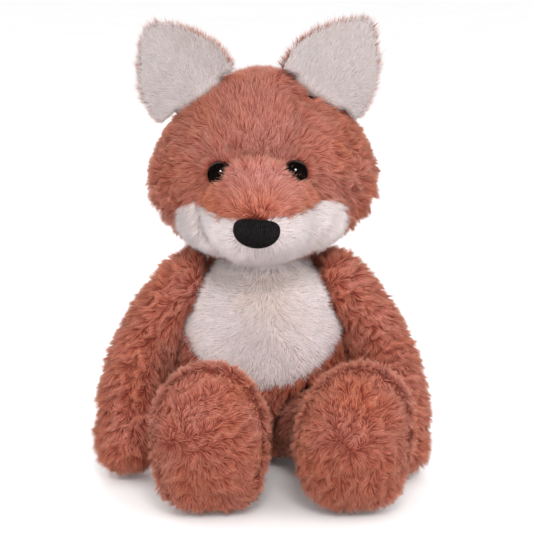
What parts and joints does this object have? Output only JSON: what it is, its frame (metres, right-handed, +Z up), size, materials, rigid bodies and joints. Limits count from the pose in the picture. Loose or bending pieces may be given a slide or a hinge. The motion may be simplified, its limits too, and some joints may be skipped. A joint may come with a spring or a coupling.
{
  "type": "plush fox",
  "caption": "Sitting plush fox of long rust pile with cream face, chest and ears; head, ears, arms, legs and tail flex at their seams.",
  "frame": {"origin": "middle of the flat face that the fox sits on", "axes": "+Z up; the fox faces -Y; its own left is +X"},
  "size_m": [0.21, 0.2854, 0.2769],
  "materials": {
    "rust_pile": "long soft pile, matt",
    "cream_pile": "long soft pile, matt",
    "nose_thread": "satin stitched thread",
    "eye_plastic": "high gloss",
    "washer_plastic": "matt moulded",
    "fibre_filling": "loose fibre",
    "bag_cloth": "plain woven cloth"
  },
  "bodies": {
    "torso": {"torso_skin": "rust_pile", "belly_panel": "cream_pile", "torso_filling": "fibre_filling", "pellet_bag": "bag_cloth"},
    "neck": {"neck_skin": "rust_pile", "neck_front": "cream_pile", "neck_filling": "fibre_filling"},
    "head": {"head_skin": "rust_pile", "snout_top": "rust_pile", "cheek_panel": "cream_pile", "head_filling": "fibre_filling", "nose": "nose_thread", "eye_left": "eye_plastic", "eye_washer_left": "washer_plastic", "eye_right": "eye_plastic", "eye_washer_right": "washer_plastic"},
    "ear_left": {"ear_back_left": "rust_pile", "ear_front_left": "cream_pile"},
    "ear_right": {"ear_back_right": "rust_pile", "ear_front_right": "cream_pile"},
    "tail": {"tail_skin": "rust_pile", "tail_tip": "cream_pile", "tail_filling": "fibre_filling"},
    "arm_left": {"arm_skin_left": "rust_pile", "arm_filling_left": "fibre_filling"},
    "leg_left": {"leg_skin_left": "rust_pile", "foot_sole_left": "rust_pile", "leg_filling_left": "fibre_filling"},
    "arm_right": {"arm_skin_right": "rust_pile", "arm_filling_right": "fibre_filling"},
    "leg_right": {"leg_skin_right": "rust_pile", "foot_sole_right": "rust_pile", "leg_filling_right": "fibre_filling"}
  },
  "joints": [
    {"name": "neck_turn", "type": "hinge", "parent": "torso", "child": "neck", "pos_m": [0, -0.004, 0.118], "axis": [0, 0, 1], "range_deg": [-35, 35], "stiffness_Nm_per_rad": 0.5},
    {"name": "neck_nod", "type": "hinge", "parent": "neck", "child": "head", "pos_m": [0, -0.004, 0.118], "axis": [-0.9986, 0.0523, 0], "range_deg": [-8, 10], "stiffness_Nm_per_rad": 1.5},
    {"name": "shoulder_left", "type": "hinge", "parent": "torso", "child": "arm_left", "pos_m": [0.05, -0.004, 0.11], "axis": [0, -1, 0], "range_deg": [0, 70]},
    {"name": "shoulder_right", "type": "hinge", "parent": "torso", "child": "arm_right", "pos_m": [-0.05, -0.004, 0.11], "axis": [0, 1, 0], "range_deg": [0, 70]},
    {"name": "hip_left", "type": "hinge", "parent": "torso", "child": "leg_left", "pos_m": [0.032, -0.034, 0.029], "axis": [-1, 0, 0], "range_deg": [0, 22]},
    {"name": "hip_right", "type": "hinge", "parent": "torso", "child": "leg_right", "pos_m": [-0.032, -0.034, 0.029], "axis": [-1, 0, 0], "range_deg": [0, 22]},
    {"name": "ear_fold_left", "type": "hinge", "parent": "head", "child": "ear_left", "pos_m": [0.03379, -0.01979, 0.23211], "axis": [0.8279, -0.0434, -0.5592], "range_deg": [-25, 25], "stiffness_Nm_per_rad": 0.03},
    {"name": "ear_fold_right", "type": "hinge", "parent": "head", "child": "ear_right", "pos_m": [-0.03818, -0.01602, 0.23023], "axis": [0.7975, -0.0418, 0.6018], "range_deg": [-25, 25], "stiffness_Nm_per_rad": 0.03},
    {"name": "tail_wag", "type": "hinge", "parent": "torso", "child": "tail", "pos_m": [0, 0.043, 0.029], "axis": [0, 0, 1], "range_deg": [-30, 30], "stiffness_Nm_per_rad": 0.06}
  ]
}
